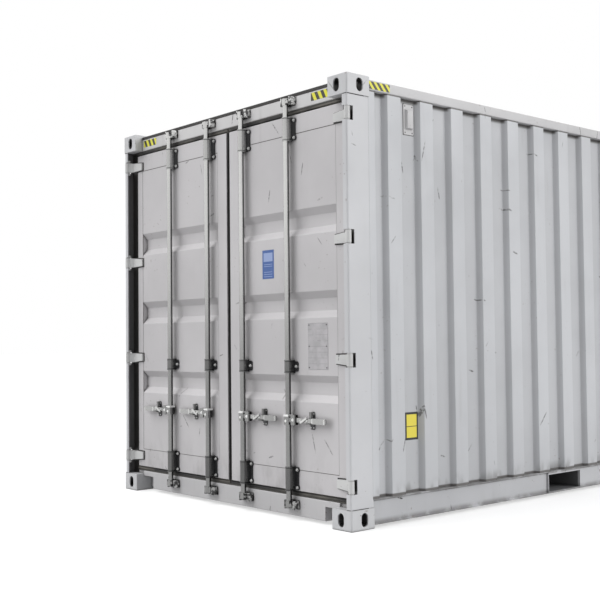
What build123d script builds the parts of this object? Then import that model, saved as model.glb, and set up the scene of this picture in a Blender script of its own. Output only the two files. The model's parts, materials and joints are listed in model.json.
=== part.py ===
from build123d import *
import os

# Overall size. X runs from the door end (minus) to the blind end (plus), Y across, Z up.
# The near side, which shows in the photograph, is minus Y.
length = 6058.0
width = 2438.0
height = 2591.0
door_end = -length / 2
blind_end = length / 2
near_side = -width / 2

# Corner castings
casting_x = 178.0
casting_y = 162.0
casting_z = 118.0
casting_wall = 14.0
casting_cap = 28.0
casting_radius = 12.0
casting_edge = 5.0
slot_long = 124.0
slot_wide = 63.5
slot_from_end = 102.5
slot_from_side = 89.5
side_hole_high = 79.5
side_hole_wide = 51.0
end_hole_from_side = 89.0
side_hole_from_end = 101.5

# How far the faces of the frame and of the walls lie inside the faces of the castings
lip_setback = 3.0
rail_setback = 2.0
wall_setback = 6.0
plate = 6.0
bend_radius = 12.0

# Door-end corner posts
lip_width = 44.0
jamb_front = 70.0
jamb_back = 150.0
jamb_width = 80.0

# Rails
rail_bottom = 20.0
bottom_rail_top = 165.0
bottom_rail_flange = 45.0
bottom_rail_recess = 14.0
bottom_rail_sheet = 5.0
bottom_rail_bend = 6.0
tube_radius = 6.0
top_rail_size = 60.0
top_rail_wall = 4.0
end_rail_depth = 60.0

# Side wall sheet
sheet = 2.0
sheet_bend = 7.0
wall_start = 226.0
rib_flat = 112.0
rib_run = 22.0
valley_flat = 124.0
half_valley_flat = 62.0
rib_depth = 36.0

# End wall sheet
end_rib_flat = 110.0
end_rib_run = 18.0
end_valley_flat = 104.0
end_rib_depth = 45.6

# Ventilator covers, one high on each side in the first full valley
vent_shift = 13.5
vent_drop = 27.0
vent_wide = 87.0
vent_high = 185.0
vent_flange = 4.0
vent_corner = 10.0
vent_hood_wide = 62.0
vent_hood_high = 122.0
vent_hood_deep = 20.0
vent_hood_taper = 25.0

# Roof sheet, which laps over the rails, with troughs pressed into it
roof_drop = 16.0
roof_sheet = 2.0
roof_lap_margin = 18.0
roof_trough_depth = 20.0
roof_trough_wide = 91.0
roof_trough_taper = 42.0
roof_trough_corner = 25.0
roof_pitch = 209.0
roof_plain_end = 150.0
roof_plain_side = 130.0
frame_top = height - roof_drop - roof_sheet

# Floor and base
floor_thickness = 28.0
cross_member_flange = 45.0
cross_member_sheet = 4.0
cross_member_gap = 290.0
pocket_wide = 360.0
pocket_high = 115.0
pocket_spacing = 2050.0
pocket_plate = 5.0
pocket_strap = 300.0
cross_member_height = pocket_high + pocket_plate * 2
floor_side_gap = 2.0

# Door opening
front_setback = 60.0
sill_top = 140.0
sill_depth = 110.0
sill_notch_wide = 127.0
sill_notch_high = 85.0
sill_notch_deep = 64.0
header_bottom = height - casting_z
header_depth = 100.0

# Doors
door_thickness = 50.0
door_edge_radius = 4.0
sill_gap = 32.0
header_gap = 31.0
door_bottom = sill_top + sill_gap
door_top = header_bottom - header_gap
door_hinge_edge = 95.0
door_centre_gap = 17.0
stile_width = 100.0
hinge_stile_width = 68.0
top_member = 117.0
bottom_member = 125.0
band_first = 613.0
band_pitch = 499.0
band_high = 158.0
band_flat = 74.0
band_depth = 36.0
door_sheet_bend = 9.0

# Door gaskets, with an outer lip in front of a groove
gasket_back = 88.0
gasket_groove_front = 74.0
gasket_lip_front = 64.0
gasket_end = 22.0
gasket_hinge = 9.0
gasket_centre = 11.0
gasket_groove_share = 0.45

# Door hinges
first_hinge = 75.0
second_hinge = 786.0
third_hinge = 1485.0
top_hinge_drop = 80.0
hinge_inset = 19.0
pin_radius = 6.5
pin_clearance = 0.1
knuckle_radius = 18.0
knuckle_high = 70.0
blade_thickness = 14.0
blade_neck = 12.0
blade_crank_back = 30.0
blade_crank_front = 40.0
blade_root_high = 64.0
blade_tip_high = 50.0
blade_straight_rise = 3.0
blade_tip = 170.0
blade_tip_radius = 7.0
hinge_cut_gap = 6.0
hinge_cut_side = 53.0
lug_high = 14.0
lug_size = 27.0
lug_gap = 1.0
lug_collar_radius = 16.0

# Lock rods and their bearings
outer_rod = 645.0
inner_rod = 192.0
rod_radius = 17.0
rod_inset = 24.0
rod_clearance = 0.1
rod_below_sill = 65.0
rod_above_header = 67.0
rod_bottom = sill_top - rod_below_sill
rod_top = header_bottom + rod_above_header
long_bearing = 145.0
short_bearing = 78.0
low_bearing_rise = 72.0
mid_bearing_rise = 744.0
top_bearing_drop = 87.0
bearing_radius = 21.0
collar_radius = 23.0
collar_high = 6.0
flange_plate = 8.0
flange_waist = 52.0
bolt_side = 45.0
bolt_rise = 53.0
lobe_radius = 15.0

# Cams at the ends of the rods, and the keepers that they sit in
cam_high = 40.0
cam_hub = 22.0
cam_reach = 27.0
cam_thick = 20.0
keeper_shift = 6.0
keeper_plate = 4.0
keeper_wide = 120.0
keeper_high = 56.0
keeper_corner = 8.0
jaw_high = 52.0
jaw_inner = 34.0
jaw_outer = 56.0
jaw_reach = 36.0
jaw_tip = 10.0
jaw_slope = 18.0
jaw_radius = 9.0

# Handles and their catches
handle_level = 598.0
handle_length = 340.0
handle_thick = 10.0
handle_bar_high = 26.0
handle_grip_long = 126.0
handle_grip_high = 34.0
handle_grip_radius = 10.0
handle_pivot = 56.0
handle_eye_radius = 15.0
handle_pin_radius = 6.0
hub_high = 60.0
hub_wide = 44.0
hub_radius = 8.0
ear_thick = 9.0
ear_high = 62.0
ear_wide = 36.0
ear_corner = 8.0
ear_neck_high = 26.0
ear_gap = 0.6
catch_place = 187.0
catch_high = 104.0
catch_wide = 36.0
catch_plate = 6.0
catch_corner = 8.0
catch_arm = 8.0
catch_seat_gap = 0.3
catch_back_wide = 18.0
catch_back_gap = 6.0


def save(block, name):
    block.part.label = name
    export_step(block.part, f"parts/{name}.step")


def near_and_far(block, name):
    with BuildPart() as twin:
        mirror(block.part, about=Plane.XZ)
    save(block, f"near_{name}")
    save(twin, f"far_{name}")


def block_between(low, high, mode=Mode.ADD):
    size = [abs(b - a) for a, b in zip(low, high)]
    middle = [(a + b) / 2 for a, b in zip(low, high)]
    with Locations(tuple(middle)):
        Box(*size, mode=mode)


def folded_sheet(points, across, radius):
    # Both faces of a pressed sheet with rounded bends, closed at its two ends
    back = [(u + across[0], v + across[1]) for u, v in points]
    FilletPolyline(*points, radius=radius)
    FilletPolyline(*back, radius=radius)
    Line(points[0], back[0])
    Line(points[-1], back[-1])


def ribs_that_fit(space, rib, valley, edge_valley, run):
    return int((space + valley - (edge_valley + run) * 2) // (rib + valley + run * 2))


def castings():
    # One bottom corner at the door end of the near side, and its three mirrored fellows
    x0 = door_end
    y0 = near_side
    with BuildPart() as corner:
        block_between((x0, y0, 0), (x0 + casting_x, y0 + casting_y, casting_z))
        fillet(corner.edges().filter_by(Axis.Z).group_by(Axis.X)[0].sort_by(Axis.Y)[0], casting_radius)
        fillet(corner.faces().sort_by(Axis.Z)[0].edges(), casting_edge)
        block_between(
            (x0 + casting_wall, y0 + casting_wall, casting_cap),
            (x0 + casting_x - casting_wall, y0 + casting_y - casting_wall, casting_z - casting_wall),
            Mode.SUBTRACT,
        )
        with BuildSketch(Plane.XY):
            with Locations((x0 + slot_from_end, y0 + slot_from_side)):
                SlotOverall(slot_long, slot_wide)
        extrude(amount=casting_cap + casting_wall, mode=Mode.SUBTRACT)
        with BuildSketch(Plane.YZ.offset(x0)):
            with Locations((y0 + end_hole_from_side, casting_z / 2)):
                SlotOverall(side_hole_high, side_hole_wide, rotation=90)
        extrude(amount=casting_wall * 2, mode=Mode.SUBTRACT)
        with BuildSketch(Plane.XZ.offset(-y0)):
            with Locations((x0 + side_hole_from_end, casting_z / 2)):
                SlotOverall(side_hole_high, side_hole_wide, rotation=90)
        extrude(amount=-casting_wall * 2, mode=Mode.SUBTRACT)
    with BuildPart() as bottom:
        add(corner.part)
        mirror(about=Plane.XZ)
        mirror(about=Plane.YZ)
    with BuildPart() as top:
        mirror(bottom.part, about=Plane.XY.offset(height / 2))
    save(bottom, "bottom_corner_castings")
    save(top, "top_corner_castings")


def door_posts():
    # Pressed outer plate with its front lip, and the jamb channel behind it
    x0 = door_end + lip_setback
    y0 = near_side + wall_setback
    y_lip = near_side + lip_width
    x_end = door_end + casting_x
    x_jamb = door_end + jamb_front
    x_back = door_end + jamb_back
    y_jamb = near_side + jamb_width
    half = knuckle_high / 2 + hinge_cut_gap
    with BuildPart() as post:
        with BuildSketch(Plane.XY.offset(casting_z)):
            with BuildLine():
                Polyline(
                    (x0, y0), (x_end, y0), (x_end, y0 + plate), (x_back, y0 + plate), (x_back, y_jamb),
                    (x_jamb, y_jamb), (x_jamb, y0 + plate), (x0 + plate, y0 + plate),
                    (x0 + plate, y_lip), (x0, y_lip), close=True,
                )
            make_face()
            with BuildLine():
                Polyline(
                    (x_jamb + plate, y0 + plate), (x_back - plate, y0 + plate),
                    (x_back - plate, y_jamb - plate), (x_jamb + plate, y_jamb - plate), close=True,
                )
            make_face(mode=Mode.SUBTRACT)
        extrude(amount=header_bottom - casting_z)
        fillet(post.edges().filter_by(Axis.Z).sort_by(Axis.X)[:2].sort_by(Axis.Y)[0], bend_radius)
        for level in hinge_levels():
            block_between(
                (x0, y0, level - half), (door_end + hinge_cut_side, y_lip, level + half), Mode.SUBTRACT
            )
    near_and_far(post, "door_post")


def hinge_levels():
    low = [door_bottom + rise for rise in (first_hinge, second_hinge, third_hinge)]
    return low + [door_top - top_hinge_drop]


def hinge_lugs():
    # Two lugs and a pin at each hinge, welded inside the corner of the post
    x_pin = door_end + hinge_inset
    y_pin = near_side + hinge_inset
    x_in = door_end + lip_setback + plate
    y_in = near_side + wall_setback + plate
    half = knuckle_high / 2
    with BuildPart() as lugs:
        for level in hinge_levels():
            lower = level - half - hinge_cut_gap
            upper = level + half + hinge_cut_gap
            for z0 in (lower - lug_high, upper):
                with BuildSketch(Plane.XY.offset(z0)):
                    with BuildLine():
                        Polyline(
                            (x_in + bend_radius / 2, y_in), (x_in + lug_size, y_in),
                            (x_in + lug_size, y_in + lug_size), (x_in, y_in + lug_size),
                            (x_in, y_in + bend_radius / 2), close=True,
                        )
                    make_face()
                extrude(amount=lug_high)
            with BuildSketch(Plane.XY.offset(lower - lug_high)):
                with Locations((x_pin, y_pin)):
                    Circle(pin_radius)
            extrude(amount=upper - lower + lug_high * 2)
            for z0, z1 in ((lower, level - half - lug_gap), (level + half + lug_gap, upper)):
                with BuildSketch(Plane.XY.offset(z0)):
                    with Locations((x_pin, y_pin)):
                        Circle(lug_collar_radius)
                extrude(amount=z1 - z0)
    near_and_far(lugs, "hinge_lugs")


def bottom_side_rails():
    # A channel open to the outside, in three lengths, each closed beside a fork pocket
    y0 = near_side + rail_setback
    y_web = y0 + bottom_rail_recess
    y_in = y0 + bottom_rail_flange
    s = bottom_rail_sheet
    low = rail_bottom
    high = bottom_rail_top
    end = length / 2 - casting_x
    inner = pocket_spacing / 2 - pocket_wide / 2
    outer = pocket_spacing / 2 + pocket_wide / 2
    corners = [
        (y0, low), (y_in, low), (y_in, low + s),
        (y_web + s, low + s), (y_web + s, high - s), (y_in, high - s),
        (y_in, high), (y0, high), (y0, high - s), (y_web, high - s), (y_web, low + s), (y0, low + s),
    ]
    bends = [bottom_rail_bend if y == y_web else 0 for y, z in corners]
    with BuildPart() as rail:
        for start, stop in ((-end, -outer), (-inner, inner), (outer, end)):
            with BuildSketch(Plane.YZ.offset(start)):
                with BuildLine():
                    FilletPolyline(*corners, radius=bends, close=True)
                make_face()
            extrude(amount=stop - start)
        for hand in (-1, 1):
            for x in (inner - s, outer):
                block_between((hand * x, y0, low), (hand * (x + s), y_web + s, high))
    near_and_far(rail, "bottom_side_rail")

    # The strips above and below each mouth, which carry the flanges of the rail past it
    mouth_low = low + s + pocket_plate
    mouth_high = mouth_low + pocket_high
    with BuildPart() as mouths:
        for hand in (-1, 1):
            for side in (-1, 1):
                for flange, strip in (
                    ((low, low + s), (low, mouth_low)),
                    ((high - s, high), (mouth_high, high)),
                ):
                    for (z0, z1), y_back in ((flange, y_in), (strip, y_web + s)):
                        block_between((hand * inner, side * y0, z0), (hand * outer, side * y_back, z1))
    save(mouths, "fork_pocket_mouths")


def top_side_rails():
    y0 = near_side + rail_setback
    half = length / 2 - casting_x
    inside = top_rail_size - top_rail_wall * 2
    with BuildPart() as rail:
        with BuildSketch(Plane.YZ.offset(-half)):
            with Locations((y0 + top_rail_size / 2, frame_top - top_rail_size / 2)):
                RectangleRounded(top_rail_size, top_rail_size, tube_radius)
                RectangleRounded(inside, inside, tube_radius - top_rail_wall, mode=Mode.SUBTRACT)
        extrude(amount=half * 2)
    near_and_far(rail, "top_side_rail")


def rib_line(start, end, first_flat, depth, run, ribs, rib, valley, edge_valley):
    # A folded sheet as points (along, depth), starting and ending on a flat
    points = [(start, 0)]
    u = first_flat
    points.append((u, 0))
    for index in range(ribs + 1):
        floor = edge_valley if index in (0, ribs) else valley
        points.append((u + run, depth))
        points.append((u + run + floor, depth))
        u = u + run * 2 + floor
        points.append((u, 0))
        if index < ribs:
            u = u + rib
            points.append((u, 0))
    points.append((end, 0))
    return points


def side_walls():
    half = length / 2 - casting_x
    face = near_side + wall_setback
    ribs = ribs_that_fit(length - wall_start - casting_x, rib_flat, valley_flat, half_valley_flat, rib_run)
    line = rib_line(
        -half, half, door_end + wall_start, rib_depth, rib_run, ribs, rib_flat, valley_flat, half_valley_flat
    )
    with BuildPart() as wall:
        with BuildSketch(Plane.XY.offset(bottom_rail_top)):
            with BuildLine():
                folded_sheet([(x, face + depth) for x, depth in line], (0, sheet), sheet_bend)
            make_face()
        extrude(amount=frame_top - top_rail_size - bottom_rail_top)
    near_and_far(wall, "side_wall")


def vents():
    # A flanged cover with a sloping hood, seated on the floor of the valley
    seat = near_side + wall_setback + rib_depth
    valley_start = door_end + wall_start + half_valley_flat + rib_flat + rib_run * 3
    vent_x = valley_start + valley_flat / 2 + vent_shift
    vent_z = frame_top - top_rail_size - vent_drop - vent_high / 2
    with BuildPart() as vent:
        with BuildSketch(Plane.XZ.offset(-seat)):
            with Locations((vent_x, vent_z)):
                RectangleRounded(vent_wide, vent_high, vent_corner)
        extrude(amount=vent_flange)
        with BuildSketch(Plane.XZ.offset(-seat + vent_flange)):
            with Locations((vent_x, vent_z)):
                Rectangle(vent_hood_wide, vent_hood_high)
        extrude(amount=vent_hood_deep - vent_flange, taper=vent_hood_taper)
    with BuildPart() as both:
        add(vent.part)
        mirror(vent.part, about=Plane.XZ)
    save(both, "vent_covers")


def end_wall():
    half = width / 2 - casting_y
    ribs = ribs_that_fit(half * 2, end_rib_flat, end_valley_flat, end_valley_flat, end_rib_run)
    pattern = ribs * end_rib_flat + (ribs + 1) * (end_valley_flat + end_rib_run * 2)
    line = rib_line(
        -half, half, -pattern / 2, end_rib_depth, end_rib_run,
        ribs, end_rib_flat, end_valley_flat, end_valley_flat,
    )
    x_face = blind_end - wall_setback
    with BuildPart() as wall:
        with BuildSketch(Plane.XY.offset(bottom_rail_top)):
            with BuildLine():
                folded_sheet([(x_face - depth, y) for y, depth in line], (-sheet, 0), sheet_bend)
            make_face()
        extrude(amount=header_bottom - bottom_rail_top)
    save(wall, "end_wall")


def end_posts():
    x1 = blind_end - wall_setback
    y0 = near_side + wall_setback
    x0 = blind_end - casting_x
    y1 = near_side + casting_y
    with BuildPart() as post:
        block_between((x0, y0, casting_z), (x1, y1, header_bottom))
        fillet(post.edges().filter_by(Axis.Z).sort_by(Axis.X)[-2:].sort_by(Axis.Y)[0], bend_radius)
        block_between(
            (x0 + plate, y0 + plate, casting_z), (x1 - plate, y1 - plate, header_bottom), Mode.SUBTRACT
        )
    with BuildPart() as posts:
        add(post.part)
        mirror(post.part, about=Plane.XZ)
    save(posts, "end_posts")


def end_rails():
    middle = blind_end - rail_setback - end_rail_depth / 2
    half = width / 2 - casting_y
    with BuildPart() as rails:
        for low, high in ((rail_bottom, bottom_rail_top), (header_bottom, frame_top)):
            with BuildSketch(Plane.XZ):
                with Locations((middle, (low + high) / 2)):
                    RectangleRounded(end_rail_depth, high - low, tube_radius)
                    Rectangle(end_rail_depth - plate * 2, high - low - plate * 2, mode=Mode.SUBTRACT)
            extrude(amount=half, both=True)
    save(rails, "end_rails")


def roof():
    # The sheet ends at the castings, and a plain plate between the castings carries on at each end
    half_y = width / 2 - rail_setback - roof_lap_margin
    plate_y = width / 2 - casting_y
    x0 = door_end + front_setback + roof_lap_margin
    x1 = blind_end - rail_setback - roof_lap_margin
    sheet_x0 = door_end + casting_x
    sheet_x1 = blind_end - casting_x
    inner_x0 = door_end + front_setback + header_depth
    inner_x1 = blind_end - rail_setback - end_rail_depth
    trough_long = (half_y - roof_plain_side) * 2
    room = inner_x1 - inner_x0 - roof_plain_end * 2 - roof_trough_wide
    troughs = int(room // roof_pitch) + 1
    with BuildPart() as panel:
        block_between((sheet_x0, -half_y, frame_top), (sheet_x1, half_y, frame_top + roof_sheet))
        for level, mode in ((frame_top, Mode.ADD), (frame_top + roof_sheet, Mode.SUBTRACT)):
            with BuildSketch(Plane.XY.offset(level)):
                with Locations(((inner_x0 + inner_x1) / 2, 0)):
                    with GridLocations(roof_pitch, 0, troughs, 1):
                        RectangleRounded(roof_trough_wide, trough_long, roof_trough_corner)
            extrude(amount=-roof_trough_depth, taper=roof_trough_taper, mode=mode)
    save(panel, "roof")
    with BuildPart() as plates:
        for x_a, x_b in ((x0, sheet_x0), (sheet_x1, x1)):
            block_between((x_a, -plate_y, frame_top), (x_b, plate_y, frame_top + roof_sheet))
    save(plates, "roof_end_plates")


def channel_outline(x, hand, low, high, s):
    # A channel across the base, its web at x and its flanges pointing along hand
    tip = x + hand * cross_member_flange
    inside = x + hand * s
    return [
        (x, low), (tip, low), (tip, low + s), (inside, low + s),
        (inside, high - s), (tip, high - s), (tip, high), (x, high),
    ]


def floor_and_base():
    low = rail_bottom + bottom_rail_sheet
    floor_low = low + cross_member_height
    floor_high = floor_low + floor_thickness
    x0 = door_end + front_setback + sill_depth
    x1 = blind_end - rail_setback - end_rail_depth
    half_y = width / 2 - rail_setback - bottom_rail_flange - floor_side_gap
    x_corner = blind_end - casting_x - floor_side_gap
    y_corner = width / 2 - casting_y - floor_side_gap
    with BuildPart() as floor:
        block_between((x0, -half_y, floor_low), (x1, half_y, floor_high))
        for side in (-1, 1):
            block_between(
                (x_corner, side * y_corner, floor_low), (x1, side * half_y, floor_high), Mode.SUBTRACT
            )
    save(floor, "floor")

    web_in = width / 2 - rail_setback - bottom_rail_recess - bottom_rail_sheet
    inner = pocket_spacing / 2 - pocket_wide / 2
    outer = pocket_spacing / 2 + pocket_wide / 2
    places = []
    x = cross_member_gap / 2
    while x + cross_member_flange < inner - cross_member_flange:
        places.append(x)
        x = x + cross_member_gap
    x = outer + cross_member_gap
    while x + cross_member_flange < length / 2 - casting_x:
        places.append(x)
        x = x + cross_member_gap
    members = [channel_outline(-x, -1, low, floor_low, cross_member_sheet) for x in places]
    members += [channel_outline(x, 1, low, floor_low, cross_member_sheet) for x in places]
    beams = [channel_outline(hand * inner, -hand, low, floor_low, pocket_plate) for hand in (-1, 1)]
    beams += [channel_outline(hand * outer, hand, low, floor_low, pocket_plate) for hand in (-1, 1)]
    for name, outlines in (("cross_members", members), ("fork_pocket_beams", beams)):
        with BuildPart() as channels:
            for outline in outlines:
                with BuildSketch(Plane.XZ):
                    with BuildLine():
                        Polyline(*outline, close=True)
                    make_face()
                extrude(amount=web_in, both=True)
        save(channels, name)

    with BuildPart() as plates:
        for hand in (-1, 1):
            block_between(
                (hand * inner, -web_in, floor_low - pocket_plate), (hand * outer, web_in, floor_low)
            )
            for side in (-1, 1):
                block_between(
                    (hand * inner, side * (web_in - pocket_strap), low),
                    (hand * outer, side * web_in, low + pocket_plate),
                )
    save(plates, "fork_pocket_plates")


def sill_and_header():
    x0 = door_end + front_setback
    x1 = x0 + sill_depth
    x_notch = x0 + sill_notch_deep
    half = width / 2 - casting_y
    over = width / 2 - jamb_width
    inner = half - sill_notch_wide
    with BuildPart() as sill:
        block_between((x0, -half, rail_bottom), (x1, half, sill_top))
        fillet(sill.edges().filter_by(Axis.Y).group_by(Axis.X)[0], tube_radius)
        block_between((x0 + plate, -half, rail_bottom + plate), (x1, half, sill_top - plate), Mode.SUBTRACT)
        for side in (-1, 1):
            block_between(
                (x0, side * inner, rail_bottom),
                (x1, side * half, rail_bottom + sill_notch_high),
                Mode.SUBTRACT,
            )
            block_between(
                (x_notch, side * inner, rail_bottom), (x_notch + plate, side * half, sill_top - plate)
            )
            block_between(
                (x0 + plate, side * (inner - plate), rail_bottom + plate),
                (x_notch + plate, side * inner, sill_top - plate),
            )
            block_between((x0 + bend_radius, side * half, casting_z), (x1, side * over, sill_top))
    save(sill, "door_sill")
    with BuildPart() as header:
        with BuildSketch(Plane.XZ):
            with Locations((x0 + header_depth / 2, (header_bottom + frame_top) / 2)):
                RectangleRounded(header_depth, frame_top - header_bottom, tube_radius)
                Rectangle(header_depth - plate * 2, frame_top - header_bottom - plate * 2, mode=Mode.SUBTRACT)
        extrude(amount=half, both=True)
    save(header, "door_header")


def door_leaf():
    x0 = door_end + front_setback
    y_hinge = near_side + door_hinge_edge
    y_mid = -door_centre_gap
    y_a = y_hinge + hinge_stile_width
    y_b = y_mid - stile_width
    z_a = door_bottom + bottom_member
    z_b = door_top - top_member
    with BuildPart() as frame:
        block_between((x0, y_hinge, door_bottom), (x0 + door_thickness, y_mid, door_top))
        fillet(frame.faces().sort_by(Axis.X)[0].edges(), door_edge_radius)
        block_between((x0, y_a, z_a), (x0 + door_thickness, y_b, z_b), Mode.SUBTRACT)
    near_and_far(frame, "door_frame")

    # The panel is folded in full-width bands; as many as its height holds
    slope = (band_high - band_flat) / 2
    first = door_bottom + band_first
    bands = int((z_b - first - band_high / 2) // band_pitch) + 1
    points = [(x0, z_a)]
    for index in range(bands):
        centre = first + band_pitch * index
        points.append((x0, centre - band_high / 2))
        points.append((x0 + band_depth, centre - band_high / 2 + slope))
        points.append((x0 + band_depth, centre + band_high / 2 - slope))
        points.append((x0, centre + band_high / 2))
    points.append((x0, z_b))
    with BuildPart() as panel:
        with BuildSketch(Plane.XZ.offset(-y_a)):
            with BuildLine():
                folded_sheet(points, (sheet, 0), door_sheet_bend)
            make_face()
        extrude(amount=y_a - y_b)
    near_and_far(panel, "door_panel")

    with BuildPart() as gasket:
        for front, back, share in (
            (gasket_groove_front, gasket_back, 0),
            (gasket_lip_front, gasket_groove_front, gasket_groove_share),
        ):
            block_between(
                (door_end + front, y_hinge - gasket_hinge, door_bottom - gasket_end),
                (door_end + back, y_mid + gasket_centre, door_top + gasket_end),
            )
            block_between(
                (door_end + front, y_hinge - gasket_hinge * share, door_bottom - gasket_end * share),
                (door_end + back, y_mid + gasket_centre * share, door_top + gasket_end * share),
                Mode.SUBTRACT,
            )
    near_and_far(gasket, "door_gasket")


def hinge_blade():
    # A forged strap: knuckle round the pin, crank over the gap, and a taper along the door.
    # Its lower edge runs almost straight and its upper edge falls towards the tip.
    x_pin = door_end + hinge_inset
    y_pin = near_side + hinge_inset
    x_back = door_end + front_setback
    x_front = x_back - blade_thickness
    y_tip = near_side + blade_tip
    y_knee = y_pin + blade_crank_front
    knuckle = knuckle_high / 2
    root = blade_root_high / 2
    tip_low = blade_straight_rise - root
    corners = [
        (y_pin - knuckle_radius, -knuckle), (y_pin + knuckle_radius, -knuckle), (y_knee, -root),
        (y_tip, tip_low), (y_tip, tip_low + blade_tip_high),
        (y_knee, root), (y_pin + knuckle_radius, knuckle), (y_pin - knuckle_radius, knuckle),
    ]
    rounds = [blade_tip_radius if y == y_tip else 0 for y, z in corners]
    with BuildPart() as blade:
        with BuildSketch(Plane.XY.offset(-knuckle)):
            with BuildLine():
                Polyline(
                    (x_pin - knuckle_radius, y_pin), (x_front, y_knee), (x_front, y_tip), (x_back, y_tip),
                    (x_back, y_pin + blade_crank_back), (x_pin + blade_neck, y_pin + blade_neck),
                    (x_pin, y_pin), close=True,
                )
            make_face()
            with Locations((x_pin, y_pin)):
                Circle(knuckle_radius)
                Circle(pin_radius + pin_clearance, mode=Mode.SUBTRACT)
        extrude(amount=knuckle_high)
        with BuildSketch(Plane.YZ.offset(door_end)):
            with BuildLine():
                FilletPolyline(*corners, radius=rounds, close=True)
            make_face()
        extrude(amount=front_setback, mode=Mode.INTERSECT)
    return blade


def hinge_blades():
    # The two upper blades taper from above and the two lower ones from below
    upper = hinge_blade()
    with BuildPart() as lower:
        mirror(upper.part, about=Plane.XY)
    levels = hinge_levels()
    with BuildPart() as blades:
        for block, pair in ((lower, levels[:2]), (upper, levels[2:])):
            with Locations(*[(0, 0, level) for level in pair]):
                add(block.part)
    near_and_far(blades, "hinge_blades")


def rod_bearing(high, rise):
    # A strap round the rod with a collar at each end, on a flange with a lobe at each bolt
    x_face = door_end + front_setback
    x_rod = door_end + rod_inset
    half = high / 2
    with BuildPart() as bearing:
        for low, top, radius in (
            (-half, half, bearing_radius),
            (-half, collar_high - half, collar_radius),
            (half - collar_high, half, collar_radius),
        ):
            with BuildSketch(Plane.XY.offset(low)):
                with Locations((x_rod, 0)):
                    Circle(radius)
                with Locations(((x_face + x_rod) / 2, 0)):
                    Rectangle(x_face - x_rod, radius * 2)
            extrude(amount=top - low)
        with BuildSketch(Plane.YZ.offset(x_face - flange_plate)):
            Rectangle(flange_waist * 2, (rise + lobe_radius) * 2)
            with Locations(*[(hand * bolt_side, side * rise) for hand in (-1, 1) for side in (-1, 1)]):
                Circle(lobe_radius)
        extrude(amount=flange_plate)
        with BuildSketch(Plane.XY.offset(-half)):
            with Locations((x_rod, 0)):
                Circle(rod_radius + rod_clearance)
        extrude(amount=high, mode=Mode.SUBTRACT)
    return bearing


def rod_bearings():
    long = rod_bearing(long_bearing, bolt_rise)
    short = rod_bearing(short_bearing, lobe_radius)
    places = (
        (long, door_bottom + low_bearing_rise),
        (short, door_bottom + mid_bearing_rise),
        (long, door_top - top_bearing_drop),
    )
    with BuildPart() as bearings:
        for block, level in places:
            with Locations((0, -outer_rod, level), (0, -inner_rod, level)):
                add(block.part)
    near_and_far(bearings, "rod_bearings")


def cam_keepers():
    # Two ramped jaws on a plate at each end of each rod
    x_plate = door_end + front_setback - keeper_plate
    x_tip = x_plate - jaw_reach
    with BuildPart() as keeper:
        for hand in (-1, 1):
            with BuildSketch(Plane.XY.offset(-jaw_high / 2)):
                with BuildLine():
                    Polyline(
                        (x_plate, hand * jaw_inner), (x_tip, hand * jaw_inner),
                        (x_tip, hand * (jaw_inner + jaw_tip)),
                        (x_tip + jaw_slope, hand * jaw_outer), (x_plate, hand * jaw_outer), close=True,
                    )
                make_face()
            extrude(amount=jaw_high)
        along = keeper.edges().filter_by(Axis.X).group_by(Axis.Y)
        fillet(along[0] + along[-1], jaw_radius)
        with BuildSketch(Plane.YZ.offset(x_plate)):
            RectangleRounded(keeper_wide, keeper_high, keeper_corner)
        extrude(amount=keeper_plate)
    low = rod_bottom + cam_high / 2 - keeper_shift
    high = rod_top - cam_high / 2 + keeper_shift
    with BuildPart() as keepers:
        for level in (low, high):
            with Locations(*[(0, y, level) for y in (-outer_rod, -inner_rod, inner_rod, outer_rod)]):
                add(keeper.part)
    save(keepers, "cam_keepers")


def lock_rod(y):
    # Tube with a cam at each end and a clamped hub, whose two ears carry the handle's pin
    x_rod = door_end + rod_inset
    ear_in = handle_thick / 2 + ear_gap
    ear_out = ear_in + ear_thick
    pivot = y - handle_pivot
    with BuildPart() as rod:
        with BuildSketch(Plane.XY.offset(rod_bottom)):
            with Locations((x_rod, y)):
                Circle(rod_radius)
        extrude(amount=rod_top - rod_bottom)
        for z0 in (rod_bottom, rod_top - cam_high):
            with BuildSketch(Plane.XY.offset(z0)):
                with Locations((x_rod, y)):
                    Circle(cam_hub)
                    SlotOverall(cam_reach * 2, cam_thick, rotation=90)
            extrude(amount=cam_high)
        with BuildSketch(Plane.XY.offset(handle_level - hub_high / 2)):
            with Locations((x_rod, y)):
                RectangleRounded(hub_wide, hub_wide, hub_radius)
        extrude(amount=hub_high)
        for x_ear in (x_rod - ear_out, x_rod + ear_in):
            with BuildSketch(Plane.YZ.offset(x_ear)):
                with Locations((y - handle_pivot / 2, handle_level)):
                    Rectangle(handle_pivot, ear_neck_high)
                with Locations((pivot, handle_level)):
                    RectangleRounded(ear_wide, ear_high, ear_corner)
            extrude(amount=ear_thick)
        with BuildSketch(Plane.YZ.offset(x_rod - ear_out)):
            with Locations((pivot, handle_level)):
                Circle(handle_pin_radius)
        extrude(amount=ear_out * 2)
    return rod


def handle(y):
    # Flat bar from the pivot eye to a wider grip
    pivot = y - handle_pivot
    tip = y - handle_length
    bar_end = tip + handle_grip_long / 2
    with BuildPart() as lever:
        with BuildSketch(Plane.YZ.offset(door_end + rod_inset - handle_thick / 2)):
            with Locations(((pivot + bar_end) / 2, handle_level)):
                Rectangle(pivot - bar_end, handle_bar_high)
            with Locations((bar_end, handle_level)):
                RectangleRounded(handle_grip_long, handle_grip_high, handle_grip_radius)
            with Locations((pivot, handle_level)):
                Circle(handle_eye_radius)
                Circle(handle_pin_radius + pin_clearance, mode=Mode.SUBTRACT)
        extrude(amount=handle_thick)
    return lever


def rods_and_handles():
    for place, word in ((outer_rod, "outer"), (inner_rod, "inner")):
        near_and_far(lock_rod(-place), f"{word}_lock_rod")
        near_and_far(handle(-place), f"{word}_handle")


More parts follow.
